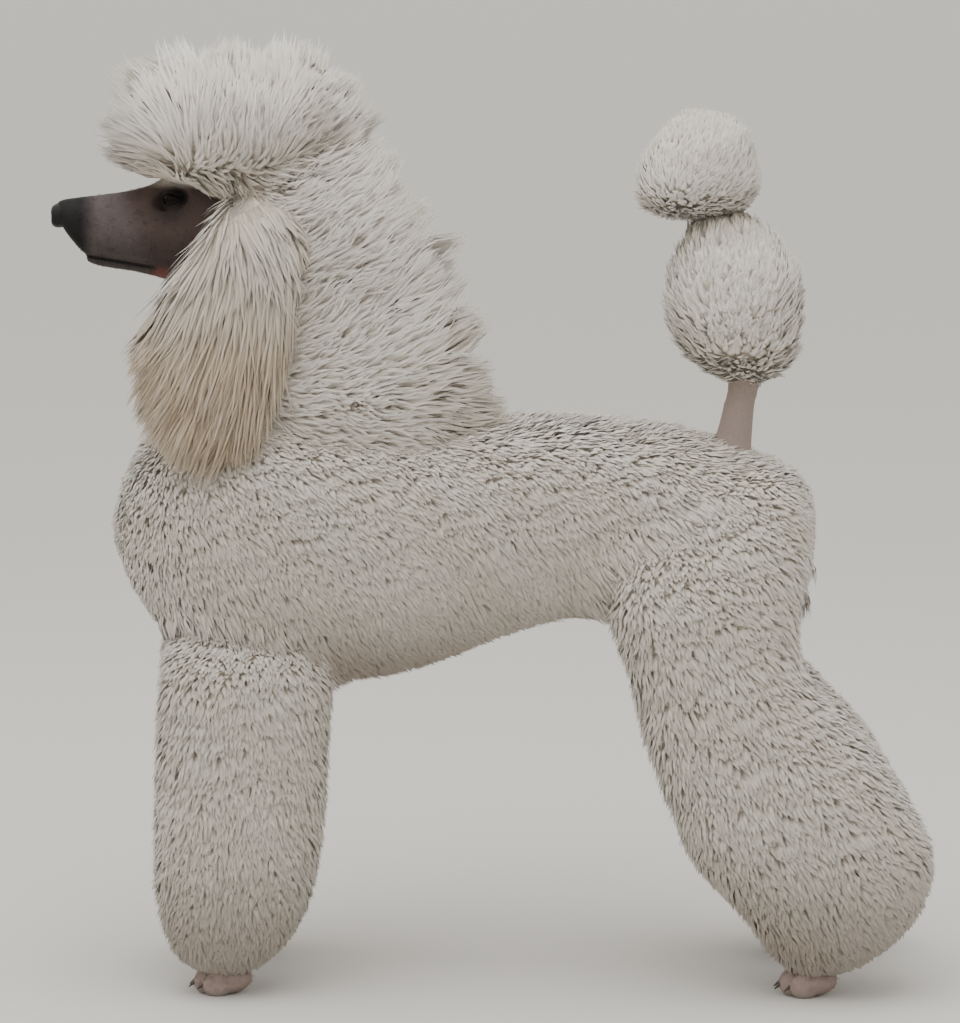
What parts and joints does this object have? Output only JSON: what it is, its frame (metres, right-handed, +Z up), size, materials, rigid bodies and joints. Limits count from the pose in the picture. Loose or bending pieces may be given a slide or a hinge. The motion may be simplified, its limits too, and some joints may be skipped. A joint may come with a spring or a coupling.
{
  "type": "standard poodle",
  "caption": "Life-size standing standard poodle in a full show coat, with long mane and topknot, plush legs and a tail with two pompons; a still display model.",
  "frame": {"origin": "on the floor, under the middle of the whole model's box", "axes": "+Z up; the dog faces -X; its left side is -Y"},
  "size_m": [0.9559, 0.3397, 1.0547],
  "materials": {
    "coat": "soft curled white coat",
    "ear_coat": "long straight coat with a warm cream tint",
    "face_skin": "closely shaved grey-brown face",
    "pale_skin": "closely shaved skin at the root of the tail",
    "foot_skin": "closely shaved feet with dark claws",
    "nose_leather": "moist black nose",
    "eye_brown": "glossy dark brown eye"
  },
  "bodies": {
    "root": {"chest": "coat", "loin": "coat", "neck": "coat", "topknot": "coat", "head": "face_skin", "lower_jaw": "face_skin", "nose": "nose_leather", "eye_left": "eye_brown", "eye_right": "eye_brown", "ear_left": "ear_coat", "ear_right": "ear_coat", "front_leg_left": "coat", "front_leg_right": "coat", "front_foot_left": "foot_skin", "front_foot_right": "foot_skin", "thigh_left": "coat", "thigh_right": "coat", "hind_leg_left": "coat", "hind_leg_right": "coat", "hind_foot_left": "foot_skin", "hind_foot_right": "foot_skin", "tail_base": "pale_skin", "tail_pom": "coat", "tail_tuft": "coat"}
  },
  "joints": []
}
